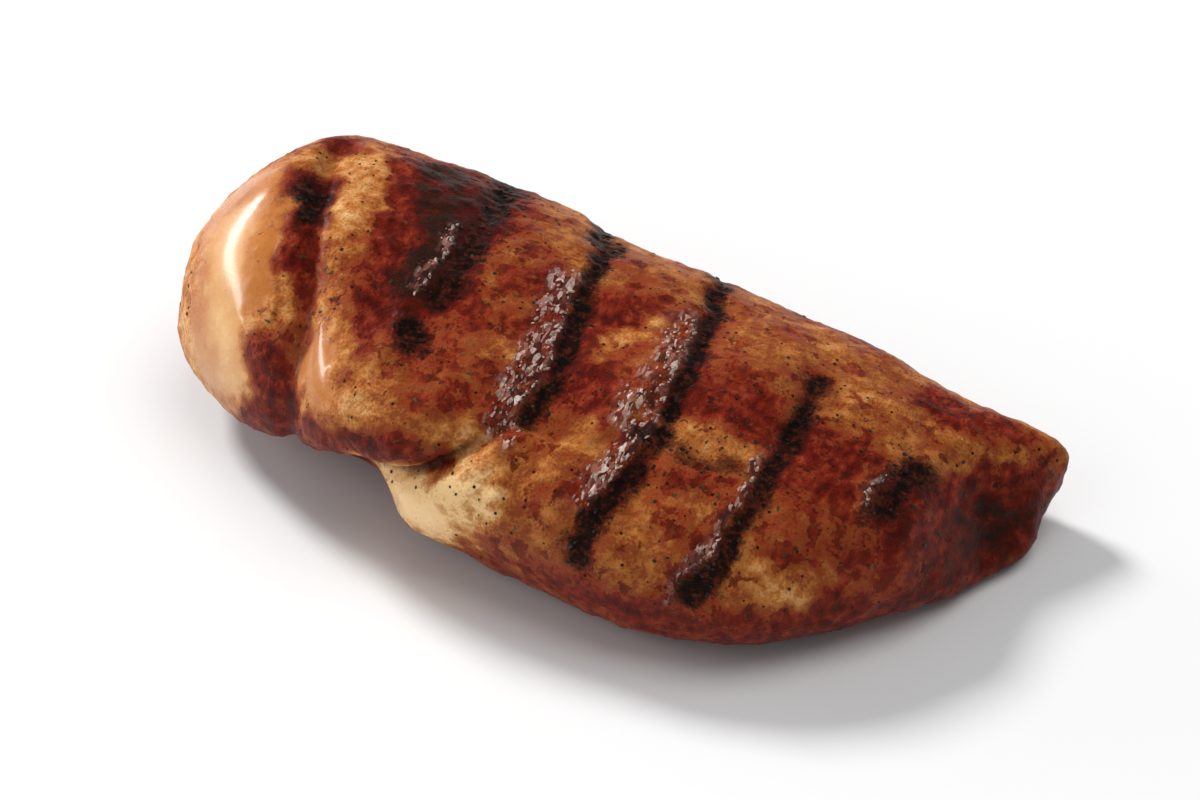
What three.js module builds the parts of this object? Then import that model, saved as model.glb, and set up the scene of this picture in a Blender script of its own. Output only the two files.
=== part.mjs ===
// A whole boneless chicken breast, smoked and then marked on a grill: one solid piece of meat.
// It lies on its flat underside. +X runs from the thick end to the tail, +Z is up, and the front,
// where a lobe of the thick end hangs over the lower muscle, faces -Y. All sizes are in millimetres.

import * as THREE from "three";
import { ImprovedNoise } from "three/addons/math/ImprovedNoise.js";

// Driving dimensions.
const LENGTH = 153; // from the thick end to the tip of the tail
const THICK_X = -77; // the whole is moved to the middle of its box at the end
const TAIL_X = THICK_X + LENGTH + 5.6; // the tail's end, before its slant brings it to the length

// How the breast changes along its length: evenly spaced values, from the thick end to the tail.
const BACK_REACH = [38, 44, 39, 32, 27.5, 22.5, 16.5, 14.5]; // from the middle line to the back edge
const FRONT_REACH = [33, 38, 42, 47, 52, 51, 37, 17]; // from the middle line to the front edge
const TOP_HEIGHT = [45, 46.5, 40, 34, 32, 28.5, 22.5, 19.5]; // of the top over the underside
const WAIST_HEIGHT = [15, 16, 16, 15, 13, 12, 10, 9]; // of the widest line over the underside
const LEAN = [0, 0, 0, 0, 0.05, 0.15, 0.25, 0.3]; // how far the top leans back, for each mm of height
// Exponents that round the ends, in plan before and behind the middle line and in height: the smaller,
// the blunter.
const THICK_END = { front: 0.66, back: 0.66, height: 0.56 };
const TAIL_END = { front: 0.5, back: 0.36, height: 0.34 };
const CROWN_SQUARENESS = [2.1, 2.1, 2.15, 2.15, 2.2, 2.25, 2.6, 2.8]; // over it: 2 is an ellipse
const FLANK_SQUARENESS = 2.4; // under it
const BASE_OVERSHOOT = 1.22; // the flank aims this far under the waist and is cut flat

// The tail's end stands back in front of its tip. Its front corner falls off steeply into a bay that
// starts at one x and, behind, at a line turned this many degrees from the length. Over its run the
// bay takes away this share of the height.
const TAIL_SLANT = { from: 56, tipY: 12.5, reach: 8, depth: 7.5 };
const BAY = { x: 60, y: -4, turn: 38, run: 7.5, drop: 0.66 };

// The marks of the grill's bars.
const BAR_XS = [-25.4, -3.6, 16.6, 36.3, 55];
const BAR_SKEW = 0.08; // how far a mark runs towards the tail, for each mm towards the front
const BAR_HALF_WIDTH = 2.6;
const BAR_DEPTH = 0.8;
const BAR_ANGLES = { from: 36, to: 116, soft: 16 }; // degrees of the section where a bar can touch

// The fold between the lobe over the thick end and the lower muscle. It starts low at the thick end,
// runs under the lobe, climbs past it and runs out as a shallow seam: evenly spaced values along it.
const FOLD_FROM_X = -66;
const FOLD_TO_X = 38;
const FOLD_ANGLES = [-40, -28, -15, -5, 3, 11, 32, 52, 54, 51, 47, 44, 42]; // degrees over the widest line
const FOLD_DEPTHS = [0, 2, 5.5, 7, 7, 6, 3, 1.4, 1.1, 1.1, 1, 0.6, 0];
const FOLD_OPENING = 4.2; // half of its width, in degrees
const FOLD_REST_ANGLE = 10; // of the lines of points past its end
const LOBE = { x: -31, reach: 17, swell: 4.5, angle: 26 }; // swells this far over the fold
const UNDERCUT = { from: -64, to: -33, soft: 9, depth: 8 }; // the lower muscle stands back under the lobe
const UNDERCUT_ANGLES = [-80, -40]; // degrees of the section between which it sets in
const SHOULDER = { x: -17, reach: 10, swell: 2.2, angle: 20 }; // and swells where it comes out

// The crease that parts the smooth cheek at the thick end from the lobe, where the first bar lay.
const CREASE_X = -47.5;
const CREASE_DRIFT = 11; // how far towards the thick end it runs over the top
const CREASE_ANGLES = [36, 119]; // degrees of the section between which it drifts
const CREASE_RETURN = [108, 190]; // and between which the meat returns behind it
const CREASE_REACH = 16; // how far along the length the meat follows the drift
const CREASE_SPAN = { to: 120, soft: 14 }; // degrees over the fold where it ends
const CREASE_DEPTH = 4.2;
const CREASE_HALF_WIDTH = 2.9;

// Unevenness of the meat.
const LUMP = { size: 21, depth: 1.5 };
const RIPPLE = { size: 8, depth: 0.5 };

// Mesh: rings across the length, and points round each ring.
const RINGS_PER_MARK = [-1.25, -0.6, 0, 0.6, 1.25]; // in half widths of a mark
const RINGS_BETWEEN_MARKS = 3;
const END_RINGS = 7;
const RING_POINTS = { base: 10, flank: 12, fold: 6, lobe: 12, crown: 28 };
const BASE_ANGLE = 60; // degrees under the widest line where the flat underside starts
const CROWN_ANGLE = 78; // degrees over it from where the lines of points no longer follow the fold
const FOLD_BAND = 2.2 * FOLD_OPENING;

const { lerp, smoothstep, degToRad, clamp } = THREE.MathUtils;
const noise = new ImprovedNoise();

/** A smooth function of 0 to 1 through evenly spaced values. */
function profile(values) {
  const spline = new THREE.SplineCurve(
    values.map((value, i) => new THREE.Vector2(i / (values.length - 1), value)),
  );
  return (t) => spline.getPoint(clamp(t, 0, 1)).y;
}

const backReach = profile(BACK_REACH);
const frontReach = profile(FRONT_REACH);
const topHeight = profile(TOP_HEIGHT);
const waistHeight = profile(WAIST_HEIGHT);
const lean = profile(LEAN);
const crownSquareness = profile(CROWN_SQUARENESS);

/** A smooth bump of height 1 at 0 that is gone past about 2. */
const bump = (d) => Math.exp(-d * d);

/** 1 from low to high, falling to 0 over soft on each side. */
const within = (v, low, high, soft) =>
  smoothstep(v, low - soft, low) * (1 - smoothstep(v, high, high + soft));

const foldAngles = profile(FOLD_ANGLES);
const foldDepths = profile(FOLD_DEPTHS);
const foldShare = (x) => (x - FOLD_FROM_X) / (FOLD_TO_X - FOLD_FROM_X);

/** The angle of the fold's line over the widest line, in degrees, at a place along the length. */
const foldAngle = (x) => lerp(foldAngles(foldShare(x)), FOLD_REST_ANGLE, smoothstep(x, FOLD_TO_X, TAIL_X));

/** Unevenness of one size at a point, from about -1 to 1 times its depth. */
const unevenness = ({ size, depth }, x, y, z) => depth * noise.noise(x / size, y / size, z / size + size);

/** How far the surface stands out from the plain form, at a place along the length and an angle. */
function relief(x, angle) {
  const overFold = angle - foldAngle(x);
  const underFold = 1 - smoothstep(overFold, -2 * FOLD_OPENING, 0);
  const lobe = bump((x - LOBE.x) / LOBE.reach) * bump((overFold - LOBE.angle) / LOBE.angle);
  const shoulder =
    bump((x - SHOULDER.x) / SHOULDER.reach) * bump((overFold + SHOULDER.angle) / SHOULDER.angle);
  const crease =
    bump((x - CREASE_X) / CREASE_HALF_WIDTH) *
    within(overFold, FOLD_OPENING, CREASE_SPAN.to, CREASE_SPAN.soft);
  const undercut =
    within(x, UNDERCUT.from, UNDERCUT.to, UNDERCUT.soft) *
    underFold *
    smoothstep(angle, ...UNDERCUT_ANGLES);
  let out = -foldDepths(foldShare(x)) * bump(overFold / FOLD_OPENING);
  out += LOBE.swell * lobe + SHOULDER.swell * shoulder;
  out -= CREASE_DEPTH * crease + UNDERCUT.depth * undercut;
  const touched = within(angle, BAR_ANGLES.from, BAR_ANGLES.to, BAR_ANGLES.soft);
  for (const barX of BAR_XS) out -= BAR_DEPTH * bump((x - barX) / BAR_HALF_WIDTH) * touched;
  return out;
}

/** The share of the tail's height that is left at a place in plan: less in the bay of its corner. */
function bayShare(x, y) {
  const turn = degToRad(BAY.turn);
  const pastSide = x - BAY.x;
  const pastBack = pastSide * Math.sin(turn) - (y - BAY.y) * Math.cos(turn);
  return 1 - BAY.drop * clamp(Math.min(pastSide, pastBack) / BAY.run, 0, 1);
}

/** A point of the surface: how far along, 0 to 1, and the angle round the section from the front. */
function surfacePoint(along, angle) {
  const round = Math.sin(Math.acos(1 - 2 * along));
  const end = along < 0.5 ? THICK_END : TAIL_END;
  let x = lerp(THICK_X, TAIL_X, along);
  const rise = Math.pow(round, end.height);
  const back = backReach(along) * Math.pow(round, end.back);
  const front = frontReach(along) * Math.pow(round, end.front);
  const waist = waistHeight(along);
  const middle = (back - front) / 2;

  // The plain section: half a superellipse over the widest line and half a flatter one under it.
  const turn = degToRad(angle);
  const over = Math.sin(turn) >= 0;
  const power = 2 / (over ? crownSquareness(along) : FLANK_SQUARENESS);
  const across = -Math.sign(Math.cos(turn)) * Math.pow(Math.abs(Math.cos(turn)), power);
  const up = Math.sign(Math.sin(turn)) * Math.pow(Math.abs(Math.sin(turn)), power);
  const height = (over ? topHeight(along) - waist : waist * BASE_OVERSHOOT) * rise;

  let y = middle + ((back + front) / 2) * across;
  let z = waist + height * up;
  y += lean(along) * Math.max(0, z - waist);

  // The relief stands out along the section's radius, and the crease and the marks are drawn aslant.
  const stand = (relief(x, angle) + unevenness(LUMP, x, y, z) + unevenness(RIPPLE, x, y, z)) * round;
  y -= stand * Math.cos(turn);
  z += stand * Math.sin(turn);
  const drifted = smoothstep(angle, ...CREASE_ANGLES) * (1 - smoothstep(angle, ...CREASE_RETURN));
  const drift = CREASE_DRIFT * drifted * bump((x - CREASE_X) / CREASE_REACH);
  const { from, tipY, reach, depth } = TAIL_SLANT;
  const slant = depth * smoothstep(tipY - y, 0, reach) * smoothstep(x, from, TAIL_X);
  x -= (BAR_SKEW * (y - middle) + drift) * round + slant;
  return new THREE.Vector3(x, y, Math.max(0, z * bayShare(x, y)));
}

/** Where the rings stand along the length, 0 to 1: close over each mark and towards the two ends. */
function ringPlaces() {
  const marks = [CREASE_X, ...BAR_XS];
  const edge = RINGS_PER_MARK.at(-1) * BAR_HALF_WIDTH;
  const xs = [];
  marks.forEach((mark, i) => {
    RINGS_PER_MARK.forEach((share) => xs.push(mark + share * BAR_HALF_WIDTH));
    const between = i < marks.length - 1 ? RINGS_BETWEEN_MARKS : 0;
    for (let k = 1; k <= between; k++)
      xs.push(lerp(mark + edge, marks[i + 1] - edge, k / (between + 1)));
  });
  const places = xs.map((x) => (x - THICK_X) / (TAIL_X - THICK_X));
  const first = Math.acos(1 - 2 * places[0]);
  const last = Math.PI - Math.acos(1 - 2 * places.at(-1));
  for (let k = 0; k < END_RINGS; k++) {
    places.push((1 - Math.cos((first * k) / END_RINGS)) / 2);
    places.push((1 + Math.cos((last * k) / END_RINGS)) / 2);
  }
  return places.sort((a, b) => a - b);
}

/** The angles of a ring's points, in degrees, so that lines of points follow the fold. */
function ringAngles(x) {
  const fold = foldAngle(x);
  const stops = [
    [-180 + BASE_ANGLE, -BASE_ANGLE, RING_POINTS.base],
    [-BASE_ANGLE, fold - FOLD_BAND, RING_POINTS.flank],
    [fold - FOLD_BAND, fold + FOLD_BAND, RING_POINTS.fold],
    [fold + FOLD_BAND, CROWN_ANGLE, RING_POINTS.lobe],
    [CROWN_ANGLE, 180 + BASE_ANGLE, RING_POINTS.crown],
  ];
  return stops.flatMap(([from, to, count]) =>
    Array.from({ length: count }, (_, k) => lerp(from, to, k / count)),
  );
}

/** The whole breast, as a sphere whose rings and points are moved to the meat's surface. */
function breastGeometry() {
  const places = ringPlaces();
  const around = Object.values(RING_POINTS).reduce((a, b) => a + b);
  const geometry = new THREE.SphereGeometry(1, around, places.length - 1);
  const position = geometry.getAttribute("position");
  places.forEach((along, row) => {
    const angles = ringAngles(lerp(THICK_X, TAIL_X, along));
    const pole = row === 0 || row === places.length - 1;
    for (let column = 0; column <= around; column++) {
      const p = surfacePoint(along, pole ? 0 : angles[column % around]);
      position.setXYZ(row * (around + 1) + column, p.x, p.y, p.z);
    }
  });
  geometry.computeBoundingBox();
  const middle = geometry.boundingBox.getCenter(new THREE.Vector3());
  geometry.translate(-middle.x, -middle.y, -geometry.boundingBox.min.z);
  geometry.computeVertexNormals();
  return geometry;
}

const meat = new THREE.MeshStandardMaterial({
  name: "smoked meat",
  color: new THREE.Color(0.6, 0.34, 0.18),
  roughness: 0.42,
  metalness: 0,
});

const breast = new THREE.Mesh(breastGeometry(), meat);
breast.name = "chicken_breast";

const part = new THREE.Group();
part.add(breast);

export default part;
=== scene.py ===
"""A smoked chicken breast with the marks of a grill, in a plain pale studio.

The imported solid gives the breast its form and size. This script copies that solid, gives the copy the
fine relief of smoked and grilled meat, paints it, scatters the seasoning over it and lights it.
Sizes and places on the meat are in millimetres, those of the studio in metres. The grill's bars ran
along BAR_WAY.
"""

import logging
import math
import random
from dataclasses import dataclass, field
from enum import Enum

import bpy
import numpy as np
from mathutils import Matrix, Vector, noise


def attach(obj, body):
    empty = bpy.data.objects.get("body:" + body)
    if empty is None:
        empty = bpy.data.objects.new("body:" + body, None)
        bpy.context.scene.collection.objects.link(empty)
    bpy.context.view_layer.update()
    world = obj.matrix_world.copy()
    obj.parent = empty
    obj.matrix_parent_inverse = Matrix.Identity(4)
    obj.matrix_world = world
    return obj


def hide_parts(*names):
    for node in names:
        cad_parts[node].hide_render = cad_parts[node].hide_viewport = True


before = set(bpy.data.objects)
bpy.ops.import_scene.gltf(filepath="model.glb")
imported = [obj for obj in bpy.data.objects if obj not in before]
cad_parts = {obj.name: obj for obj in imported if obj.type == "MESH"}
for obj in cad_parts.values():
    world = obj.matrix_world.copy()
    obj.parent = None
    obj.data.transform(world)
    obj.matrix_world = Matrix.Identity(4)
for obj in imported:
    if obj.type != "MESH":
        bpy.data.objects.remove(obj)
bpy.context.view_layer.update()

MM = 0.001
NOISE_SEED = 4
BAR_WAY = Vector((0.1, 1.0, 0.0))

log = logging.getLogger("smoked_breast")

Point = tuple[float, float, float]
Piece = bpy.types.Object
Socket = bpy.types.NodeSocket


# ---- the workbench


def deselect() -> None:
    """Leaves nothing selected."""
    bpy.ops.object.select_all(action="DESELECT")


def pick(piece: Piece) -> None:
    """Selects one piece alone and makes it the active one.

    Args:
        piece: The object that the next operator acts on.
    """
    deselect()
    piece.select_set(True)
    bpy.context.view_layer.objects.active = piece


def apply_modifier(piece: Piece, kind: str, **settings: object) -> None:
    """Adds a modifier to a piece, sets it and applies it.

    Args:
        piece: The object that gets the modifier.
        kind: Blender's name of the modifier, such as "SUBSURF".
        **settings: The modifier's own values.
    """
    pick(piece)
    bpy.ops.object.modifier_add(type=kind)
    modifier = piece.modifiers[-1]
    for name, value in settings.items():
        setattr(modifier, name, value)
    bpy.ops.object.modifier_apply(modifier=modifier.name)


def read_rows(items: bpy.types.bpy_prop_collection, name: str) -> np.ndarray:
    """Reads one vector of each vertex of a mesh.

    Args:
        items: The mesh's vertices or their normals.
        name: Blender's name of the vector.

    Returns:
        One row of x, y and z for each.
    """
    flat = np.empty(len(items) * 3)
    items.foreach_get(name, flat)
    return flat.reshape(-1, 3)


def smooth_step(value: np.ndarray, low: float, high: float) -> np.ndarray:
    """Rises from 0 at low to 1 at high without corners.

    Args:
        value: The numbers to map.
        low: Where the rise starts.
        high: Where it ends. It may be under low, for a fall.

    Returns:
        The mapped numbers, from 0 to 1.
    """
    share = np.clip((value - low) / (high - low), 0, 1)
    return share * share * (3 - 2 * share)


def bell(value: np.ndarray, reach: float) -> np.ndarray:
    """Falls smoothly from 1 at 0 to about a third at the reach and to nothing past twice that.

    Args:
        value: The numbers to map.
        reach: Where it has fallen to about a third.

    Returns:
        The mapped numbers, from 0 to 1.
    """
    return np.exp(-((value / reach) ** 2))


def unevenness(places: np.ndarray, size: float, shift: float = 0.0) -> np.ndarray:
    """Smooth random pushes over space, the same on each run.

    Args:
        places: Rows of x, y and z in millimetres.
        size: The size of the pattern's patches, in millimetres.
        shift: Picks another part of the pattern.

    Returns:
        A vector for each row, with parts from about -1 to 1.
    """
    noise.seed_set(NOISE_SEED)
    return np.array([noise.noise_vector(Vector(place / size + shift)) for place in places])


# ---- what is painted on the meat


class Shade(Enum):
    """How far a place is browned, as a share of the way from scorched to pale meat."""

    SCORCHED = 0.0
    MAROON = 0.16
    RUSSET = 0.34
    BROWN = 0.52
    GOLD = 0.7
    STRAW = 0.86
    CREAM = 1.0


@dataclass(frozen=True)
class Stroke:
    """A soft line on the meat, like one stroke of a brush.

    Attributes:
        points: The places that it runs through.
        reach: How far it covers to each side.
    """

    points: tuple[Point, ...]
    reach: float

    def measure(self, places: np.ndarray, flat: bool = False) -> tuple[np.ndarray, np.ndarray]:
        """Measures from places to the line.

        Args:
            places: Rows of x, y and z.
            flat: Measures in plan, as seen from above.

        Returns:
            The distance of each row, and on which side of the line it is: -1 towards the thick end
            and 1 towards the tail.
        """
        axes = 2 if flat else 3
        spots = places[:, :axes]
        ends = np.array(self.points, float)[:, :axes]
        distance = np.full(len(spots), np.inf)
        side = np.ones(len(spots))
        for start, stop in zip(ends, [*ends[1:], ends[-1]]):
            run = stop - start
            share = np.clip((spots - start) @ run / max(run @ run, 1e-9), 0, 1)
            away = spots - (start + share[:, None] * run)
            length = np.linalg.norm(away, axis=1)
            closer = length < distance
            distance[closer] = length[closer]
            side[closer] = np.where(away[closer, 0] < 0, -1, 1)
        return distance, side


@dataclass(frozen=True)
class Tint(Stroke):
    """A stroke that browns the meat to one shade.

    Attributes:
        shade: The shade.
        strength: How far it covers what else is painted there.
    """

    shade: Shade = Shade.GOLD
    strength: float = 1.0


@dataclass(frozen=True)
class BarMark(Stroke):
    """The mark of one bar of the grill: a burnt line, pressed in, with blistered skin beside it.

    Attributes:
        burn: How black the line is, from 0 to 1.
        depth: How deep it is pressed in, from 0 to 1.
        blister: How wide the blistered skin is, on the side towards the thick end.
        blistered: The stretch of the line that is blistered, as y from front to back.
    """

    burn: float = 1.0
    depth: float = 1.0
    blister: float = 0.0
    blistered: tuple[float, float] = (-100.0, 100.0)


MARKS = (
    BarMark(((-30, 36, 25), (-27, 27, 33), (-25.5, 12, 36), (-24.5, 4, 37), (-25, -9, 36)),
            2.7, 0.85, 0.5, 3.4, (-9, 10)),
    BarMark(((-13, 38, 15), (-6.5, 20, 31), (-2.5, -6, 33), (-1.4, -16, 32), (-3, -26, 29)),
            1.8, 0.9, 0.9, 6.5, (-33, 9)),
    BarMark(((9, 36, 15), (13.4, 24, 27), (17.3, -2, 31), (18.9, -23, 30), (12, -42, 20)),
            1.6, 0.95, 1, 6, (-37, 8)),
    BarMark(((36.5, 4, 27), (37.4, -6, 27), (36.8, -26, 25), (34.4, -38, 20), (30, -44, 11)),
            1.7, 0.95, 1, 2.4, (-43, -19)),
    BarMark(((56.8, -6, 21), (54.8, -17.5, 19)), 2.8, 1, 0.7, 2, (-19, -9)),
)

SCORCHES = (
    BarMark(((-55, 8, 39), (-53, 2.5, 38.5)), 2.7, 1, 0.4),
    BarMark(((-27.5, -15.5, 35), (-25.5, -19, 35)), 2.8, 1, 0.5, 0.9, (-19, -15)),
    BarMark(((-9, 25, 29), (-5.5, 22, 30)), 2.8, 0.95, 0.3),
    BarMark(((11, 27, 24), (14.5, 18, 28)), 2.2, 0.85, 0.3),
    BarMark(((35.5, 4.5, 27), (38, 4, 27)), 1.5, 0.85, 0.4),
    BarMark(((18.9, -22, 29), (16.5, -24.5, 28)), 2.2, 0.95, 0.4),
    BarMark(((12.5, -40, 21), (11.5, -43, 19)), 1.9, 1, 0.4),
    BarMark(((21, -23, 28.5), (28, -24, 28), (35, -22.5, 26)), 1.9, 0.4, 0.9),
    BarMark(((15, -9, 31), (13.5, -22, 30)), 0.8, 0.25, 0, 5, (-23, -8)),
    BarMark(((-5, -12, 33), (-5.5, -27, 29)), 0.8, 0.2, 0, 4.5, (-29, -10)),
    BarMark(((-1, -26, 29), (9, -26, 29), (17, -24, 28.5)), 1.4, 0.16, 0.9),
    BarMark(((75.5, 11.5, 14), (77, 11, 12)), 1.6, 0.9, 0),
)

SCORCHED, MAROON, RUSSET, BROWN, GOLD, STRAW, CREAM = Shade

TINTS = (
    # The smooth cheek of the thick end.
    Tint(((-69, 12, 34), (-66, 9, 37)), 5, GOLD, 7),
    Tint(((-66, 2, 35), (-63, -8, 32), (-61, -14, 27), (-60, -20, 18)), 3.6, STRAW, 4),
    Tint(((-62, 12, 39), (-62, 4, 38)), 3.6, GOLD, 4),
    Tint(((-57.5, -4, 37), (-57, -8, 36), (-54.5, -15, 31)), 3, GOLD, 4),
    Tint(((-62, -14, 27), (-59, -20, 18)), 3, CREAM, 2),
    Tint(((-74, 8, 24), (-74, -1, 26)), 5, GOLD, 6),
    Tint(((-71, -9, 18), (-66, -14, 14)), 4.5, STRAW, 3),
    # Maroon at the cheek's lower right, in the crease below the lobe: painted shade.
    Tint(((-49.5, -21, 26), (-47, -23, 22), (-47, -24, 14), (-52, -24, 13)), 2.8, MAROON, 12),
    # The crease, from the first bar's mark down.
    Tint(((-57, 26, 38), (-53, 24, 38)), 2, MAROON, 3),
    Tint(((-58, 18, 38), (-55, 17, 39)), 2.4, GOLD, 5),
    Tint(((-57.5, 10, 40), (-53, 10, 39)), 2.6, MAROON, 8),
    Tint(((-52, 2, 38), (-50.5, -7, 37)), 2.4, MAROON, 8),
    Tint(((-48, -10, 34), (-46, -18, 29)), 1.8, RUSSET, 4),
    # The lobe.
    Tint(((-51, 25, 38), (-48, 15, 40), (-45, 2, 40)), 3, GOLD, 6),
    Tint(((-49.5, 20, 39), (-47.5, 8, 40)), 2.2, STRAW, 6),
    Tint(((-44.5, -6, 38.5), (-40.5, -14, 36)), 3.4, BROWN, 3),
    Tint(((-40.6, -22, 31), (-40, -27, 27), (-34, -30, 27)), 4, GOLD, 7),
    Tint(((-38, 4, 39), (-37, -2, 39), (-36.5, -8, 38)), 2.4, MAROON, 5),
    Tint(((-36.3, -11, 37), (-32, -17, 35.5), (-27, -17, 35)), 3, MAROON, 6),
    Tint(((-30, -24, 33), (-24, -29, 31)), 4, BROWN, 3),
    Tint(((-21, -12, 35), (-19, -20, 34), (-14, -25, 32)), 4, RUSSET, 4),
    Tint(((-22, -18, 34), (-18, -24, 32)), 2, BROWN, 4),
    # Maroon along the lobe's underside: partly its red skin, partly painted shade under the overhang.
    Tint(((-38, -31, 20), (-30, -34, 22), (-22, -35.5, 24), (-14, -34, 24)), 2.4, MAROON, 6),
    # The wide second mark: maroon towards the thick end, olive-black towards the tail.
    Tint(((-43.5, 23, 38), (-39.5, 12, 38.5), (-35.5, 2, 39)), 2.3, MAROON, 9),
    Tint(((-38, 26, 35), (-33, 12, 37.5), (-29, 2, 38), (-28, -8, 37)), 3.9, SCORCHED, 14),
    Tint(((-30, 34, 28), (-27.5, 26, 33), (-25.5, 12, 36)), 3.4, SCORCHED, 9),
    # The lower muscle.
    Tint(((-24, -34, 15), (-16.3, -38, 15.3), (-11, -38, 20)), 4.8, CREAM, 20),
    Tint(((-11, -37, 24), (-8, -39, 20)), 3, GOLD, 5),
    Tint(((-1, -40, 19), (7, -41, 20)), 4.5, BROWN, 6),
    Tint(((1, -32, 27.5), (9, -34, 26)), 3.6, BROWN, 3),
    Tint(((-30, -30, 4), (20, -48, 3), (30, -46, 3)), 4, BROWN, 3),
    Tint(((33, -44, 5), (45, -37, 5)), 5, MAROON, 4),
    # Between the marks, from the thick end to the tail.
    Tint(((-20, 26, 32), (-19.5, 9, 36), (-18, 0, 36)), 3.2, BROWN, 4),
    Tint(((-14, 8, 35), (-12.7, -0.5, 35.4), (-12, -8, 34.5)), 3.2, RUSSET, 3),
    Tint(((0, 22, 29), (6, 14, 31)), 4, BROWN, 3),
    Tint(((4, 7, 32), (2, -4, 32.4), (3, -18, 31.6)), 3.8, MAROON, 5),
    Tint(((3.5, -8, 32.2), (8, 3.5, 31.6)), 1.6, GOLD, 16),
    Tint(((22, 16, 26), (25, 10, 28.5), (27, 0, 29.5)), 5.5, BROWN, 4),
    Tint(((23, -10, 30.5), (28, -10, 29.6), (32, -13, 28.5)), 3.6, MAROON, 6),
    Tint(((26, -19, 29), (32, -18, 28)), 1.7, GOLD, 6),
    Tint(((23, -28, 28), (28, -28, 27)), 2.4, RUSSET, 5),
    Tint(((19, -34, 25), (22, -40, 20), (27, -39, 20)), 4.5, BROWN, 4),
    Tint(((20, -37, 22), (26, -38, 21)), 4, RUSSET, 1.2),
    Tint(((24, 6, 29), (26, 0, 29.5)), 4.5, RUSSET, 1),
    Tint(((44, 12, 24), (40, 3, 27), (46, 0, 25)), 5, BROWN, 4),
    Tint(((42, 8, 26), (47, 5, 25)), 2.5, GOLD, 3),
    Tint(((42.5, 1, 26.5), (45, -3, 25.5)), 2.6, GOLD, 4),
    Tint(((41, -12, 26), (46, -9, 25), (46, -17, 24), (42, -20, 25)), 3.6, MAROON, 5),
    Tint(((50, -13, 23), (50.5, -20, 22)), 1.8, BROWN, 5),
    Tint(((48, -24, 22), (45, -30, 21), (52, -26, 18)), 4, RUSSET, 3),
    Tint(((38, -35, 18), (43, -35, 15)), 3, GOLD, 4),
    Tint(((52, -32, 10), (44, -37, 7)), 3, MAROON, 5),
    # The back, down to where it lies.
    Tint(((-70, 20, 5), (-52, 36, 6), (-20, 42, 5), (15, 38, 4), (70, 16, 3)), 5, MAROON, 0.7),
    Tint(((-66, 24, 24), (-46, 37, 26)), 5, RUSSET, 0.8),
    Tint(((-20, 40, 19), (-4, 39, 20)), 4.5, RUSSET, 0.8),
    Tint(((22, 31, 17), (44, 22, 18)), 4, RUSSET, 1),
    # The tail.
    Tint(((54, 13, 21), (61, 11, 20), (70, 13, 17)), 2.4, MAROON, 8),
    Tint(((57, 4, 21), (64, 6.5, 18.6), (69.5, 9.5, 16.5), (73.5, 12, 14)), 2.4, BROWN, 12),
    Tint(((60, 4.5, 20), (64, 6, 18.8)), 1.8, GOLD, 6),
    # The tail's front wall below the plateau, maroon to scorched: partly browned skin, partly painted
    # shade on the side turned from the light.
    Tint(((61, -10, 17), (64, -4, 14.5), (68, 3, 12), (72.5, 8, 11)), 2.6, MAROON, 14),
    Tint(((60, -18, 15), (64, -10, 11), (68, -3, 7), (73, 4, 6)), 4.5, MAROON, 8),
    Tint(((64, -7, 10), (69, 1, 8), (73, 6, 8)), 4.2, SCORCHED, 34),
)

WET = (
    Stroke(((-65, 6, 36), (-63, -6, 33), (-62, -16, 21)), 9),
    Stroke(((-55, -12, 33), (-56, 0, 36)), 3.5),
    Stroke(((-42, -22, 31), (-39, -27, 27)), 4.5),
    Stroke(((-23, -37, 14), (-16, -39, 14)), 4),
)


@dataclass
class Coat:
    """The masks that say what each vertex of the meat looks like, each from 0 to 1.

    Attributes:
        shade: How far it is browned, in the terms of Shade; it also holds painted shade on steep sides,
            in creases and under the lobe.
        char: How burnt it is.
        blister: How blistered it is.
        rim: How far it is on the shiny rim beside a bar's mark.
        press: How far the bars have pressed it in.
        dry: How dry and rough it is.
        hollow: How deep it lies in a fold, which sets the painted shade there.
    """

    shade: np.ndarray
    char: np.ndarray
    blister: np.ndarray
    rim: np.ndarray
    press: np.ndarray
    dry: np.ndarray
    hollow: np.ndarray

    def weigh(self, piece: Piece, fade: np.ndarray) -> None:
        """Gives the piece a vertex group for each mask that a layer of relief may follow.

        Args:
            piece: The breast.
            fade: What the masks are multiplied by.
        """
        for name in ("char", "blister", "rim", "press", "dry"):
            group = piece.vertex_groups.new(name=name)
            for index, weight in enumerate((getattr(self, name) * fade).tolist()):
                if weight > 0.002:
                    group.add([index], weight, "REPLACE")

    def store(self, mesh: bpy.types.Mesh) -> None:
        """Writes each mask to the mesh as an attribute of its own name.

        Args:
            mesh: The mesh whose vertices the masks describe.
        """
        for name, values in vars(self).items():
            attribute = mesh.attributes.new("meat_" + name, "FLOAT", "POINT")
            attribute.data.foreach_set("value", values.astype(np.float32))


# ---- relief


class Pattern(Enum):
    """The patterns that raise the skin, by Blender's names of them."""

    EVEN = ""
    CLOUDS = "CLOUDS"
    CELLS = "VORONOI"


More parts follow.
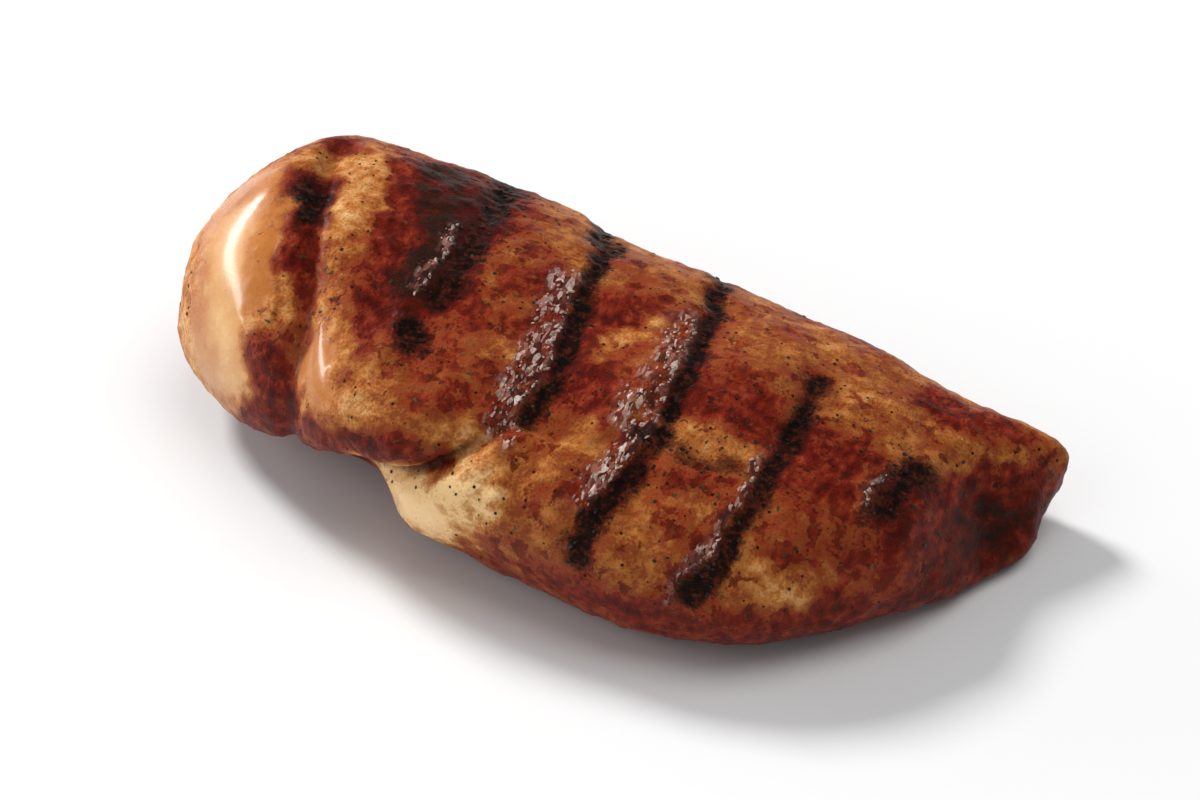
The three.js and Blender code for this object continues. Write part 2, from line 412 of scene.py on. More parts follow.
@dataclass(frozen=True)
class Relief:
    """One layer of the skin's relief, laid on by a Displace modifier.

    Attributes:
        name: What it is.
        depth: How far its highest places stand over its lowest.
        mask: The vertex group that it follows.
        pattern: The pattern.
        size: The size of the pattern's patches.
        stretch: How much longer they are along each axis.
        hard: Gives the patches sharp creases.
        middle: The pattern's value that moves nothing.
    """

    name: str
    depth: float
    mask: str
    pattern: Pattern = Pattern.CLOUDS
    size: float = 1.0
    stretch: Point = (1.0, 1.0, 1.0)
    hard: bool = False
    middle: float = 0.5

    def lay(self, piece: Piece) -> None:
        """Moves the skin of a piece.

        Args:
            piece: The piece.
        """
        settings = {"strength": self.depth * MM, "mid_level": self.middle, "vertex_group": self.mask}
        if self.pattern is Pattern.EVEN:
            apply_modifier(piece, "DISPLACE", **settings)
            return
        texture = bpy.data.textures.new(self.name, self.pattern.value)
        texture.noise_scale = self.size * MM
        if self.pattern is Pattern.CLOUDS:
            texture.noise_depth = 2
            texture.noise_type = "HARD_NOISE" if self.hard else "SOFT_NOISE"
        deselect()
        bpy.ops.object.empty_add()
        ruler = bpy.context.object
        ruler.scale = self.stretch
        bpy.context.view_layer.update()
        settings |= {"texture": texture, "texture_coords": "OBJECT", "texture_coords_object": ruler}
        apply_modifier(piece, "DISPLACE", **settings)
        bpy.data.objects.remove(ruler)
        bpy.data.textures.remove(texture)


# ---- finishes


class Graph:
    """A material's node tree, with a short method for each kind of node that the finishes use."""

    def __init__(self, name: str) -> None:
        """Starts a material.

        Args:
            name: The material's name.
        """
        self.material = bpy.data.materials.new(name)
        self.material.use_nodes = True
        self.tree = self.material.node_tree
        self.shader = self.tree.nodes["Principled BSDF"]

    def node(self, kind: str, inputs: dict | None = None, **settings: object) -> bpy.types.Node:
        """Adds a node.

        Args:
            kind: Blender's name of the node, without "ShaderNode".
            inputs: Values or outputs for its inputs, by name or number.
            **settings: The node's own values.

        Returns:
            The node.
        """
        made = self.tree.nodes.new("ShaderNode" + kind)
        for name, value in settings.items():
            setattr(made, name, value)
        for key, value in (inputs or {}).items():
            self.feed(made.inputs[key], value)
        return made

    def feed(self, socket: Socket, value: object) -> None:
        """Links an output to an input, or sets the input's value.

        Args:
            socket: The input.
            value: An output, a number, a vector or a colour.
        """
        if isinstance(value, Socket):
            self.tree.links.new(value, socket)
        else:
            socket.default_value = value

    def dress(self, inputs: dict[str, object]) -> bpy.types.Material:
        """Gives the shader its inputs by name, and returns the material."""
        for name, value in inputs.items():
            self.feed(self.shader.inputs[name], value)
        return self.material

    def math(self, operation: str, *values: object, clamp: bool = False) -> Socket:
        """Adds a calculation.

        Args:
            operation: Blender's name of it, such as "MULTIPLY_ADD".
            *values: Its numbers or outputs, in order.
            clamp: Keeps the result from 0 to 1.

        Returns:
            The result's output.
        """
        made = self.node("Math", dict(enumerate(values)), operation=operation, use_clamp=clamp)
        return made.outputs[0]

    def times(self, one: object, other: object) -> Socket:
        """Returns the output of two numbers' product."""
        return self.math("MULTIPLY", one, other)

    def total(self, *values: object) -> Socket:
        """Adds up numbers and outputs.

        Args:
            *values: Two or more of them.

        Returns:
            The sum's output.
        """
        result = values[0]
        for value in values[1:]:
            result = self.math("ADD", result, value)
        return result

    def mask(self, name: str) -> Socket:
        """Returns the output of one of the masks of Coat, by its name."""
        return self.node("Attribute", attribute_name="meat_" + name).outputs["Fac"]

    def places(self, stretch: Point = (1, 1, 1)) -> Socket:
        """Gives the place on the piece in millimetres.

        Args:
            stretch: How much longer than wide the pattern is along each axis.

        Returns:
            The vector's output.
        """
        coordinates = self.node("TexCoord").outputs["Object"]
        scale = [1 / (MM * axis) for axis in stretch]
        return self.node("Mapping", {"Vector": coordinates, "Scale": scale}).outputs[0]

    def noise(self, size: float, detail: float = 3, rough: float = 0.55, **settings: object) -> Socket:
        """Adds a soft random pattern.

        Args:
            size: The size of its patches, in millimetres.
            detail: How many finer layers it has.
            rough: How strong the finer layers are.
            **settings: May give stretch, as for places, and swirl, how far it is distorted.

        Returns:
            The pattern's output, mostly from 0.25 to 0.75.
        """
        inputs = {
            "Vector": self.places(settings.get("stretch", (1, 1, 1))),
            "Scale": 1 / size,
            "Detail": detail,
            "Roughness": rough,
            "Distortion": settings.get("swirl", 0.0),
        }
        return self.node("TexNoise", inputs).outputs["Fac"]

    def cells(self, size: float, output: str = "Distance", stretch: Point = (1, 1, 1)) -> Socket:
        """Adds a pattern of cells.

        Args:
            size: The cells' size, in millimetres.
            output: Which of the node's outputs to give.
            stretch: How much longer than wide they are along each axis.

        Returns:
            That output.
        """
        inputs = {"Vector": self.places(stretch), "Scale": 1 / size}
        return self.node("TexVoronoi", inputs).outputs[output]

    def rise(self, value: object, low: float, high: float) -> Socket:
        """Maps a value to 0 at low and 1 at high, smoothly between them.

        Args:
            value: The output to map.
            low: Where the rise starts.
            high: Where it ends. It may be under low, for a fall.

        Returns:
            The mapped output.
        """
        if low > high:
            return self.math("SUBTRACT", 1.0, self.rise(value, high, low))
        inputs = {"Value": value, "From Min": low, "From Max": high}
        return self.node("MapRange", inputs, interpolation_type="SMOOTHSTEP").outputs[0]

    def mix(self, share: object, under: object, over: object, blend: str = "MIX") -> Socket:
        """Mixes two colours.

        Args:
            share: How much of the second one shows.
            under: The first colour.
            over: The second colour.
            blend: Blender's name of the way they mix.

        Returns:
            The mixed colour's output.
        """
        made = self.node("Mix", data_type="RGBA", blend_type=blend)
        for number, value in {0: share, 6: under, 7: over}.items():
            self.feed(made.inputs[number], value)
        return made.outputs[2]

    def ramp(self, value: object, stops: dict[float, tuple]) -> Socket:
        """Maps a value to a colour.

        Args:
            value: The output to map.
            stops: The colours by their place from 0 to 1.

        Returns:
            The colour's output.
        """
        made = self.node("ValToRGB", {0: value})
        elements = made.color_ramp.elements
        elements.remove(elements[0])
        for index, (place, shown) in enumerate(sorted(stops.items())):
            element = elements.new(place) if index else elements[0]
            element.position = place
            element.color = shown
        return made.outputs[0]

    def bump(self, height: object, depth: float, under: object = None) -> Socket:
        """Adds fine relief.

        Args:
            height: The output that says how high each place stands, from 0 to 1.
            depth: How deep the relief is, in millimetres.
            under: The normal of a coarser relief that this one lies on.

        Returns:
            The normal's output.
        """
        inputs = {"Height": height, "Distance": depth * MM}
        if under is not None:
            inputs["Normal"] = under
        return self.node("Bump", inputs).outputs[0]


def colour(red: int, green: int, blue: int) -> tuple[float, float, float, float]:
    """Turns a colour as a screen shows it, 0 to 255, into the light that a shader reckons with.

    Args:
        red: Its red.
        green: Its green.
        blue: Its blue.

    Returns:
        The colour, opaque.
    """
    shown = (red / 255, green / 255, blue / 255)
    light = (part / 12.92 if part <= 0.04045 else ((part + 0.055) / 1.055) ** 2.4 for part in shown)
    return (*light, 1.0)


class MeatGraph(Graph):
    """The meat's node tree, with the outputs of the patterns that its layers share.

    Attributes:
        mottle: Spots, from 0 to 1.
        grain: Specks, likewise.
        spots: The spots, from -0.5 to 0.5.
        specks: The specks, likewise.
        dryness: How dry the meat is. Moist meat hides the patterns.
    """

    def __init__(self, mottle: float, grain: float) -> None:
        """Starts the material.

        Args:
            mottle: The size of the spots.
            grain: The size of the specks.
        """
        super().__init__("smoked meat")
        self.mottle = self.noise(mottle, 5, 0.6)
        self.grain = self.noise(grain, 4, 0.65)
        self.spots = self.math("SUBTRACT", self.mottle, 0.5)
        self.specks = self.math("SUBTRACT", self.grain, 0.5)
        self.dryness = self.math("MULTIPLY_ADD", self.mask("dry"), 0.85, 0.15)


@dataclass(frozen=True)
class SmokedMeat:
    """The skin of the meat: browned in patches, blistered beside the bars' marks and moist.

    Attributes:
        patch: The size of the browning's patches.
        mottle: The size of its spots.
        grain: The size of its finest specks.
        chip: The width of the chips of ash, with painted glints, beside the bars' marks.
        patch_depth: How far the patches change the shade.
        mottle_depth: How far the spots do.
        grain_depth: How far the specks do.
    """

    patch: float = 6.5
    mottle: float = 2.2
    grain: float = 0.55
    chip: float = 0.9
    patch_depth: float = 0.8
    mottle_depth: float = 0.75
    grain_depth: float = 0.35

    def browning(self) -> dict[float, tuple]:
        """Returns the meat's colours by their place between scorched and pale."""
        return {
            SCORCHED.value: colour(44, 22, 13),
            MAROON.value: colour(88, 16, 9),
            RUSSET.value: colour(142, 55, 27),
            BROWN.value: colour(144, 72, 33),
            GOLD.value: colour(188, 116, 54),
            STRAW.value: colour(218, 164, 106),
            CREAM.value: colour(250, 208, 148),
        }

    def browned(self, graph: MeatGraph) -> Socket:
        """Browns the meat, blushes it with smoke and peppers it.

        Args:
            graph: The material's nodes.

        Returns:
            The colour's output.
        """
        # The painted shade, broken up by patches, spots, specks and fibres.
        painted = graph.mask("shade")
        drifts = graph.math("SUBTRACT", graph.noise(self.patch, 4, 0.6), 0.5)
        fibres = graph.noise(1.3, 3, 0.5, stretch=(7, 1, 1))
        broken = graph.total(
            graph.times(drifts, self.patch_depth),
            graph.times(graph.spots, self.mottle_depth),
            graph.times(graph.specks, self.grain_depth),
            graph.times(graph.math("SUBTRACT", fibres, 0.5), 0.15),
        )
        shade = graph.math("ADD", painted, graph.times(broken, graph.dryness), clamp=True)
        base = graph.ramp(shade, self.browning())

        # The blush of the smoke: red-brown islands, larger and closer where the meat is browner.
        ruddy = graph.math("MULTIPLY_ADD", painted, -0.5, 0.24)
        ruddy = graph.total(ruddy, graph.times(drifts, -0.5), graph.times(graph.specks, 0.12))
        ruddy = graph.math("ADD", graph.noise(3.4, 4, 0.6, swirl=0.3), ruddy)
        blush = graph.times(graph.rise(ruddy, 0.535, 0.575), graph.rise(painted, 0.02, 0.14))
        # Inside the islands, streaks along the fibres; the palest streaks are painted glints on them.
        reds = {0.34: colour(64, 9, 5), 0.48: colour(100, 19, 10), 0.6: colour(134, 40, 20)}
        streaks_and_glints = graph.noise(1.7, 4, 0.55, stretch=(1, 1.7, 1.2))
        red = graph.ramp(streaks_and_glints, {**reds, 0.74: colour(164, 74, 44)})
        base = graph.mix(graph.times(graph.times(blush, graph.dryness), 0.8), base, red)

        # Ground pepper: dark dots in a few of many small cells.
        dots = graph.rise(graph.cells(1.5), 0.22, 0.15)
        chosen = graph.node("SeparateColor", {0: graph.cells(1.5, "Color")}).outputs[0]
        dots = graph.times(dots, graph.rise(chosen, 0.78, 0.84))
        return graph.mix(graph.times(dots, graph.dryness), base, colour(40, 16, 10))

    def grilled(self, graph: MeatGraph, base: Socket) -> tuple[Socket, Socket, Socket]:
        """Blisters and chars the meat.

        Args:
            graph: The material's nodes.
            base: The browned meat's colour.

        Returns:
            The colour's output, how blistered each place is and how high its chips stand.
        """
        # Blistered skin, here more and there less: chips from dark red through pinkish grey to white;
        # the palest chips are painted glints of the crisp, oily skin.
        blister = graph.times(graph.mask("blister"), graph.rise(graph.noise(4.0, 4, 0.6), 0.4, 0.52))
        chips = graph.cells(self.chip, "Color", stretch=(0.7, 2.0, 1.2))
        chips = graph.node("SeparateColor", {0: chips})
        ash_and_glints = {0.15: colour(52, 16, 13), 0.4: colour(104, 42, 32), 0.6: colour(140, 82, 66)}
        ash_and_glints |= {0.8: colour(170, 126, 112), 0.95: colour(228, 210, 200)}
        base = graph.mix(graph.times(blister, 0.9), base, graph.ramp(chips.outputs[0], ash_and_glints))

        # Char: a scorched halo, then the ragged burn itself, then painted shade in the folds.
        heat = graph.math("ADD", graph.mask("char"), graph.times(graph.spots, 0.9))
        heat = graph.math("ADD", heat, graph.times(graph.specks, 0.8))
        base = graph.mix(graph.times(graph.rise(heat, 0.14, 0.4), 0.8), base, colour(62, 14, 8))
        burn = graph.rise(heat, 0.4, 0.64)
        soot = {0.4: colour(12, 5, 4), 0.52: colour(34, 13, 8), 0.62: colour(84, 30, 16)}
        base = graph.mix(burn, base, graph.ramp(graph.noise(1.6, 4, 0.7), soot))
        # Painted shade in the folds: the deeper the fold, the darker the colour.
        deep = graph.times(graph.mask("hollow"), 0.85)
        base = graph.mix(deep, base, colour(70, 16, 10), "MULTIPLY")
        return base, blister, graph.times(chips.outputs[1], blister)

    def make(self) -> bpy.types.Material:
        """Makes the material.

        Returns:
            The material, for a mesh that has the masks of Coat.
        """
        graph = MeatGraph(self.mottle, self.grain)
        base, blister, crackle = self.grilled(graph, self.browned(graph))

        dry = graph.mask("dry")
        rough = graph.math("MULTIPLY_ADD", dry, 0.24, 0.27)
        rough = graph.math("MULTIPLY_ADD", graph.spots, 0.35, rough)
        rough = graph.math("MULTIPLY_ADD", blister, -0.15, rough, clamp=True)
        moist = graph.math("MULTIPLY_ADD", dry, -0.54, 0.6)
        moist = graph.total(moist, graph.times(blister, 0.35), graph.times(graph.mask("rim"), 0.6))
        pores = graph.bump(graph.times(graph.mottle, graph.dryness), 0.3)
        fine = graph.bump(graph.times(graph.grain, graph.dryness), 0.2, pores)

        return graph.dress({
            "Base Color": base,
            "Roughness": rough,
            "Normal": graph.bump(crackle, 0.4, fine),
            "Coat Weight": moist,
            "Coat Roughness": 0.13,
            "Subsurface Weight": 0.1,
            "Subsurface Radius": (1.0, 0.35, 0.18),
            "Subsurface Scale": 2.5 * MM,
            "Specular IOR Level": 0.16,
            "Specular Tint": (1.0, 0.86, 0.7, 1.0),
        })


@dataclass(frozen=True)
class Crumb:
    """The finish of one kind of small dry thing that lies on the meat.

    Attributes:
        name: The material's name.
        dark: Its darkest colour.
        light: Its lightest colour.
        rough: How rough it is.
    """

    name: str
    dark: tuple
    light: tuple
    rough: float = 0.5

    def make(self) -> bpy.types.Material:
        """Makes the material.

        Returns:
            The material, mottled between its two colours.
        """
        graph = Graph(self.name)
        spots = graph.noise(0.5)
        return graph.dress({
            "Base Color": graph.ramp(spots, {0.35: self.dark, 0.65: self.light}),
            "Roughness": self.rough,
            "Normal": graph.bump(spots, 0.1),
        })


# ---- the breast


@dataclass
class Breast:
    """The meat itself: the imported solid's form with the fine relief of smoked and grilled skin.

    Attributes:
        node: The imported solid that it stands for.
        cell: The size of its mesh's cells.
        smoothing: How many times the cells' steps are smoothed away.
        ragged: How far the painted strokes' edges are pushed about.
        bare_shade: The shade where no stroke reaches.
        bare_weight: How strongly that shade stands against the strokes.
        groove: How wide the bars have pressed the meat in round their marks.
        evenings: How many times the surface is smoothed to find its hollows.
        relief: The layers of its relief.
        finish: What its surface looks like.
        coat: The masks of its vertices, once it is built.
    """

    node: str = "chicken_breast"
    cell: float = 0.66
    smoothing: int = 5
    ragged: float = 2.4
    bare_shade: float = 0.6
    bare_weight: float = 0.35
    groove: float = 3.5
    evenings: int = 60
    relief: tuple[Relief, ...] = (
        Relief("bar press", -0.5, "press", Pattern.EVEN, middle=0.0),
        Relief("rim", 0.3, "rim", Pattern.EVEN, middle=0.0),
        Relief("swellings", 0.6, "dry", size=9.0),
        Relief("lumps", 0.8, "dry", size=4.0),
        Relief("fibres", 0.3, "dry", size=1.5, stretch=(7.0, 1.0, 1.0)),
        Relief("pores", 0.25, "dry", size=1.6),
        Relief("crust", 0.7, "char", size=1.8, hard=True),
        Relief("crackle", 1.0, "blister", Pattern.CELLS, size=1.7),
    )
    finish: SmokedMeat = field(default_factory=SmokedMeat)
    coat: Coat | None = None

    def build(self) -> Piece:
        """Builds and dresses the breast.

        Returns:
            The finished piece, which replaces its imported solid.
        """
        piece = self.rounded_copy()
        places = read_rows(piece.data.vertices, "co") / MM
        normals = read_rows(piece.data.vertex_normals, "vector")
        self.coat = self.paint(piece.data, places, normals)
        self.coat.weigh(piece, smooth_step(places[:, 2], 0.2, 3.0))
        for layer in self.relief:
            layer.lay(piece)
        piece.vertex_groups.clear()
        self.coat.store(piece.data)
        pick(piece)
        bpy.ops.object.shade_smooth()
        piece.data.materials.clear()
        piece.data.materials.append(self.finish.make())
        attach(piece, "root")
        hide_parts(self.node)
        return piece

    def rounded_copy(self) -> Piece:
        """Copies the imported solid, rounds its facets and gives it an even, fine mesh.

        Returns:
            The copy.
        """
        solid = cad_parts[self.node]
        piece = bpy.data.objects.new("smoked_breast", solid.data.copy())
        bpy.context.scene.collection.objects.link(piece)
        pick(piece)
        bpy.ops.object.mode_set(mode="EDIT")
        bpy.ops.mesh.select_all(action="SELECT")
        bpy.ops.mesh.remove_doubles(threshold=0.01 * MM)
        bpy.ops.mesh.tris_convert_to_quads(face_threshold=math.pi, shape_threshold=math.pi)
        bpy.ops.object.mode_set(mode="OBJECT")
        apply_modifier(piece, "SUBSURF", levels=2, render_levels=2)
        apply_modifier(piece, "REMESH", mode="VOXEL", voxel_size=self.cell * MM)
        apply_modifier(piece, "SMOOTH", factor=0.5, iterations=self.smoothing)
        return piece

    def paint(self, mesh: bpy.types.Mesh, places: np.ndarray, normals: np.ndarray) -> Coat:
        """Works out what each vertex looks like.

        Args:
            mesh: The breast's mesh.
            places: Where its vertices are.
            normals: Which way they face.

        Returns:
            The masks.
        """
        push = unevenness(places, 5.0) + 0.5 * unevenness(places, 2.2, 9.0)
        strayed = places + self.ragged * push
        wobbled = places + 0.35 * self.ragged * push
        char, blister, rim, press = self.burn(wobbled, strayed, normals[:, 2])
        wet = np.zeros(len(places))
        for stroke in WET:
            distance, _ = stroke.measure(strayed)
            wet = np.maximum(wet, smooth_step(distance, stroke.reach * 1.25, stroke.reach * 0.6))
        dry = 1 - wet * (1 - blister)
        shade = self.brown(strayed, normals) - 0.2 * blister
        return Coat(shade, char, blister, rim, press, dry, self.hollows(mesh, places, normals))

    def brown(self, places: np.ndarray, normals: np.ndarray) -> np.ndarray:
        """Works out how far each vertex is browned, with painted shade on its steep and front-facing
        sides.

        Args:
            places: Where the vertices are.
            normals: Which way they face.

        Returns:
            The shade of each, in the terms of Shade.
        """
        # Steep sides are painted darker, the front-facing ones most: partly darker meat, partly painted
        # shade on the sides turned from the light.
        wall = smooth_step(normals[:, 2], 0.45, 0.0)
        front = smooth_step(-normals[:, 1], -0.2, 0.5)
        weight = np.full(len(places), self.bare_weight)
        shade = weight * (self.bare_shade - wall * (0.16 + 0.22 * front))
        for tint in TINTS:
            distance, _ = tint.measure(places)
            share = tint.strength * bell(distance, tint.reach)
            shade += share * tint.shade.value
            weight += share
        return shade / weight

    def burn(self, places: np.ndarray, strayed: np.ndarray, up: np.ndarray) -> tuple[np.ndarray, ...]:
        """Works out what the grill has done to each vertex.

        Args:
            places: Where the vertices are, for the bars' marks.
            strayed: The same, pushed about further, for the other scorches.
            up: How far each one faces up, from -1 to 1.

        Returns:
            How burnt and how blistered each one is, how far it is on a rim and how far pressed in.
        """
        char, blister, press, rim = np.zeros((4, len(places)))
        patchy = 0.9 + 0.45 * unevenness(places, 5.0, 3.0)[:, 0]
        for mark in MARKS + SCORCHES:
            distance, side = mark.measure(places if mark in MARKS else strayed, flat=True)
            line = 0.85 * bell(distance, mark.reach) + 0.15 * bell(distance, 2.8 * mark.reach)
            char = np.maximum(char, mark.burn * line * patchy)
            groove = 0.6 * bell(distance, mark.reach) + 0.4 * bell(distance, self.groove)
            press = np.maximum(press, mark.depth * groove)
            if not mark.blister:
                continue
            low, high = mark.blistered
            along = smooth_step(places[:, 1], low - 2, low + 2)
            along *= smooth_step(places[:, 1], high + 4, high - 4)
            beside = -distance * side - mark.reach
            band = smooth_step(beside, 0.0, 0.6) * smooth_step(beside, mark.blister, 0.3 * mark.blister)
            blister = np.maximum(blister, band * along)
            rim = np.maximum(rim, bell(beside - 0.7, 0.6) * along)
        facing = smooth_step(up, 0.05, 0.4)
        return char * facing, blister * facing, rim * facing, press * facing

    def hollows(self, mesh: bpy.types.Mesh, places: np.ndarray, normals: np.ndarray) -> np.ndarray:
        """Finds how deep each vertex lies under the smoothed surface round it, for the painted shade in
        the folds.

        Args:
            mesh: The breast's mesh.
            places: Where its vertices are.
            normals: Which way they face.

        Returns:
            0 on open skin to 1 in a deep fold.
        """
        edges = np.empty(len(mesh.edges) * 2, int)
        mesh.edges.foreach_get("vertices", edges)
        one, other = edges.reshape(-1, 2).T
        count = np.bincount(edges, minlength=len(places))
        smoothed = places.copy()
        for _ in range(self.evenings):
            for axis in range(3):
                near = np.bincount(one, smoothed[other, axis], len(places))
                near += np.bincount(other, smoothed[one, axis], len(places))
                smoothed[:, axis] = near / count
        depth = ((smoothed - places) * normals).sum(axis=1)
        open_up = smooth_step(normals[:, 2], 0.3, 0.9)
        return smooth_step(depth, 0.08, 0.9) * (1 - 0.6 * open_up)


# ---- what lies on it


@dataclass
class Crumbs:
    """Small pieces of one kind, scattered over the meat.

    Attributes:
        name: The piece's name.
        count: How many there are.
        size: Their smallest and largest length.
        flatness: Their height as a share of their length.
        slimness: Their width as a share of their length.
        mask: The mask of Coat that says where they lie.
        finish: What they look like.
        seed: Picks where they lie.
        swing: How far they turn from the way the bars ran, in radians.
        steepest: How far the meat faces up at the steepest place that they lie at.
        lowest: The lowest place that they lie at.
    """

    name: str
    count: int
    size: tuple[float, float]
    flatness: float
    slimness: float
    mask: str
    finish: Crumb
    seed: int
    swing: float = math.pi
    steepest: float = 0.15
    lowest: float = 8.0

    def chip(self) -> tuple[list[Vector], list[list[int]]]:
        """Models one crumb, a small uneven stone of length 1.

        Returns:
            The places of its vertices, and its faces.
        """
        deselect()
        bpy.ops.mesh.primitive_ico_sphere_add(subdivisions=1, radius=0.5)
        chip = bpy.context.object
        bpy.ops.object.mode_set(mode="EDIT")
        bpy.ops.transform.resize(value=(1.0, self.slimness, self.flatness))
        bpy.ops.transform.vertex_random(offset=0.08, seed=self.seed)
        bpy.ops.object.mode_set(mode="OBJECT")
        corners = [vertex.co.copy() for vertex in chip.data.vertices]
        faces = [list(face.vertices) for face in chip.data.polygons]
        bpy.data.objects.remove(chip)
        return corners, faces

    def build(self, meat: Piece, coat: Coat) -> Piece:
        """Scatters the crumbs over the top of the meat.

        Args:
            meat: The breast that they lie on.
            coat: The masks of its vertices.

        Returns:
            The finished piece, all its crumbs in one mesh.
        """
        draw = random.Random(self.seed)
        corners, faces = self.chip()
        places = read_rows(meat.data.vertices, "co") / MM
        normals = read_rows(meat.data.vertex_normals, "vector")
        chance = getattr(coat, self.mask)
        open_sky = (normals[:, 2] > self.steepest) & (places[:, 2] > self.lowest)
        spots = np.flatnonzero(open_sky & (chance > 0.2)).tolist()
        vertices: list[Vector] = []
        joined: list[list[int]] = []
        for _ in range(self.count):
            spot = draw.choice(spots)
            while draw.random() > chance[spot]:
                spot = draw.choice(spots)
            up = Vector(normals[spot])
            across = BAR_WAY.cross(up).normalized()
            axes = Matrix((up.cross(across), across, up)).transposed()
            turn = axes @ Matrix.Rotation(draw.uniform(-self.swing, self.swing), 3, "Z")
            length = draw.uniform(*self.size)
            start = len(vertices)
            vertices += [(Vector(places[spot]) + turn @ corner * length) * MM for corner in corners]
            joined += [[start + corner for corner in face] for face in faces]
        mesh = bpy.data.meshes.new(self.name)
        mesh.from_pydata(vertices, [], joined)
        piece = bpy.data.objects.new(self.name, mesh)
        bpy.context.scene.collection.objects.link(piece)
        mesh.materials.append(self.finish.make())
        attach(piece, "root")
        return piece


CRUMBS = (
    Crumbs("pepper", 260, (0.35, 0.9), 0.45, 0.8, "dry",
           Crumb("cracked pepper", colour(24, 14, 10), colour(70, 44, 30)), 5),
    Crumbs("herbs", 90, (0.7, 1.6), 0.15, 0.4, "dry",
           Crumb("dried herbs", colour(46, 38, 18), colour(88, 70, 34)), 6),
    Crumbs("char_crumbs", 200, (0.4, 1.2), 0.4, 0.7, "char",
           Crumb("char", colour(14, 10, 8), colour(44, 30, 24), 0.4), 7),
    # Pale flecks on the blistered skin: partly ash, partly painted glints.
    Crumbs("ash_and_glint_flecks", 320, (0.5, 1.7), 0.16, 0.32, "blister",
           Crumb("ash_and_glints", colour(122, 74, 60), colour(216, 190, 176), 0.4), 8, 0.6),
)


# ---- the studio


@dataclass(frozen=True)
class Lamp:
    """A soft light from far off, so that it lights the floor evenly.

    Attributes:
        name: The light's name.
        azimuth: Where it stands: 0 is +X and 90 is +Y, in degrees.
        elevation: How high it stands, in degrees.
        spread: How wide it looks from the meat, in degrees.
        strength: How strong it is, in watts for each square metre.
        gleams: Shows in the meat's gloss. A fill light does not.
    """

    name: str
    azimuth: float
    elevation: float
    spread: float
    strength: float
    gleams: bool = True

    def hang(self, kind: str = "SUN", distance: float = 1.0) -> Piece:
        """Hangs the light.

        Args:
            kind: Blender's name of the light's kind.
            distance: How far off it hangs, in metres.

        Returns:
            The light, which faces the meat.
        """
        around, over = math.radians(self.azimuth), math.radians(self.elevation)
        level = math.cos(over)
        way = Vector((math.cos(around) * level, math.sin(around) * level, math.sin(over)))
        deselect()
        bpy.ops.object.light_add(type=kind, location=way * distance)
        light = bpy.context.object
        light.name = self.name
        light.rotation_euler = way.to_track_quat("Z", "Y").to_euler()
        light.data.energy = self.strength
        light.visible_glossy = self.gleams
        if kind == "SUN":
            light.data.angle = math.radians(self.spread)
        return light


@dataclass(frozen=True)
class Strip(Lamp):
    """A long low light near the meat, for the gleam along its side. Its strength is in watts.

    Attributes:
        height: Its height, in metres.
        off: How far off it stands, in metres.
    """

    height: float = 0.075
    off: float = 0.9

    def hang(self) -> Piece:
        """Hangs the light.

        Returns:
            The light, which faces the meat.
        """
        light = Lamp.hang(self, "AREA", self.off)
        light.data.shape = "RECTANGLE"
        light.data.size = 2 * self.off * math.tan(math.radians(self.spread) / 2)
        light.data.size_y = self.height
        light.visible_camera = False
        return light


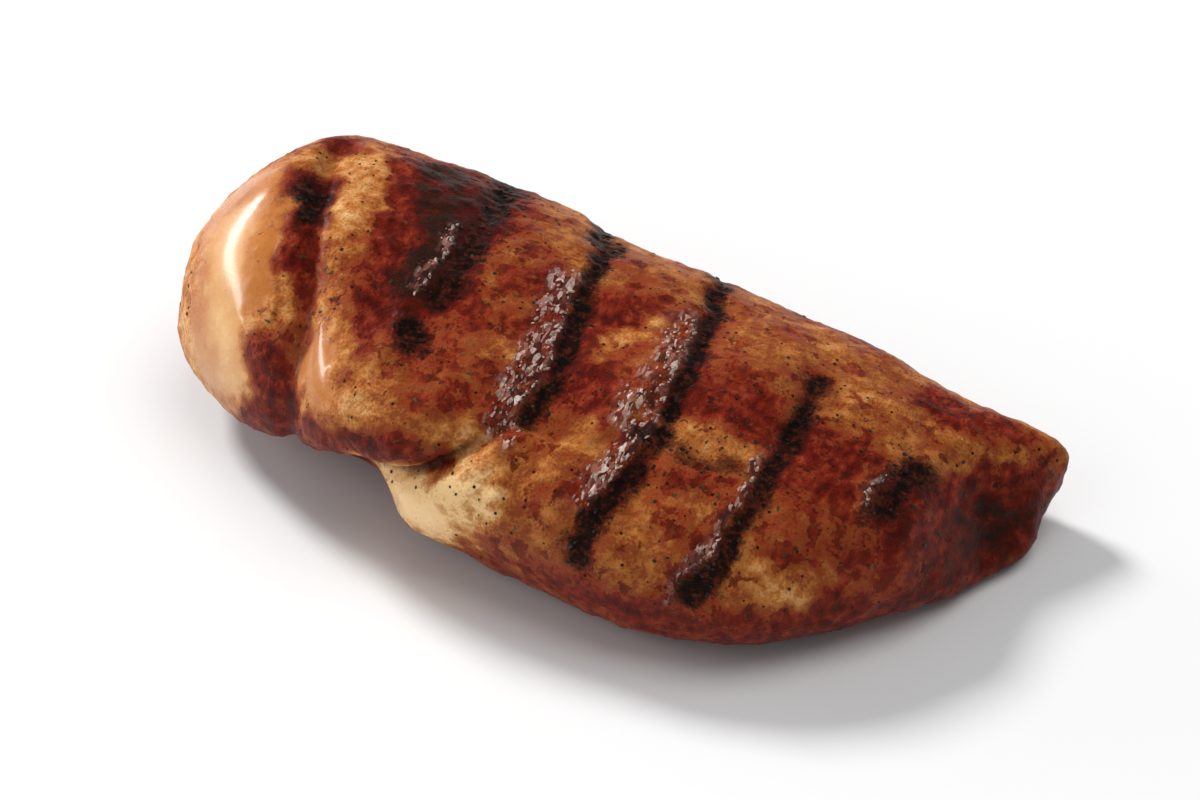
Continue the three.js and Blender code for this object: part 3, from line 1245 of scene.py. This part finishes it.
@dataclass
class Studio:
    """The pale floor, the soft light and the camera.

    Attributes:
        stand: The place that the camera's distance is measured from, in metres.
        azimuth: The direction that the camera looks in, turned from +Y, in degrees.
        elevation: How far it looks down, in degrees.
        distance: How far off it stands, in metres.
        shown_width: How wide a strip of the scene it shows at that distance, in metres.
        aim: The place at the middle of the picture, in metres.
        sky: How brightly the room lights the meat.
        backdrop: How bright the room looks behind the floor.
        floor_size: The floor's side, in metres.
        lamps: The lights.
    """

    stand: Point = (0.0, 0.00725, 0.0)
    azimuth: float = 20.0
    elevation: float = 38.0
    distance: float = 0.8
    shown_width: float = 0.203
    aim: Point = (0.0, 0.0, 0.016)
    sky: float = 0.2
    backdrop: float = 0.92
    floor_size: float = 20.0
    lamps: tuple[Lamp, ...] = (
        Lamp("window", 150, 38, 14, 2.8, gleams=False),
        Lamp("overhead", 20, 72, 50, 1.0, gleams=False),
        Lamp("fill", 235, 28, 60, 0.5, gleams=False),
        Strip("low strip", 169, 14.5, 46, 2.6),
    )

    def build(self) -> None:
        """Lays the floor, hangs the lights and sets up the camera."""
        self.lay_floor()
        self.light_room()
        self.set_camera()

    def lay_floor(self) -> None:
        """Lays a plain pale floor that runs far past the meat."""
        deselect()
        bpy.ops.mesh.primitive_plane_add(size=self.floor_size)
        floor = bpy.context.object
        floor.name = "floor"
        looks = {"Base Color": (0.86, 0.86, 0.86, 1), "Roughness": 0.9, "Specular IOR Level": 0.2}
        floor.data.materials.append(Graph("pale floor").dress(looks))

    def light_room(self) -> None:
        """Hangs the lamps in a softly lit room."""
        world = bpy.data.worlds.new("room")
        bpy.context.scene.world = world
        world.use_nodes = True
        nodes, links = world.node_tree.nodes, world.node_tree.links
        nodes["Background"].inputs["Color"].default_value = (1.0, 1.0, 1.0, 1.0)
        seen = nodes.new("ShaderNodeLightPath").outputs["Is Camera Ray"]
        sky = nodes.new("ShaderNodeMapRange")
        sky.inputs["To Min"].default_value = self.sky
        sky.inputs["To Max"].default_value = self.backdrop
        links.new(seen, sky.inputs["Value"])
        links.new(sky.outputs[0], nodes["Background"].inputs["Strength"])
        for lamp in self.lamps:
            lamp.hang()
        bpy.context.scene.view_settings.view_transform = "Standard"

    def set_camera(self) -> None:
        """Puts the camera where the photograph was taken from, turned to the meat's middle."""
        around, down = math.radians(self.azimuth), math.radians(self.elevation)
        level = math.cos(down)
        away = Vector((-math.sin(around) * level, math.cos(around) * level, -math.sin(down)))
        deselect()
        bpy.ops.object.camera_add(location=Vector(self.stand) - away * self.distance)
        camera = bpy.context.object
        camera.name = "camera"
        look = Vector(self.aim) - camera.location
        camera.rotation_euler = look.to_track_quat("-Z", "Y").to_euler()
        camera.data.sensor_width = 36.0
        camera.data.lens = camera.data.sensor_width * self.distance / self.shown_width
        camera.data.clip_start = 0.01
        camera.data.clip_end = 50.0
        bpy.context.scene.camera = camera


def main() -> None:
    """Builds the breast, what lies on it and the studio, in that order."""
    logging.basicConfig(level=logging.INFO, format="%(name)s: %(message)s")
    breast = Breast()
    meat = breast.build()
    log.info("%s: %d faces", meat.name, len(meat.data.polygons))
    for crumbs in CRUMBS:
        piece = crumbs.build(meat, breast.coat)
        log.info("%s: %d faces", piece.name, len(piece.data.polygons))
    Studio().build()


if __name__ == "__main__":
    main()
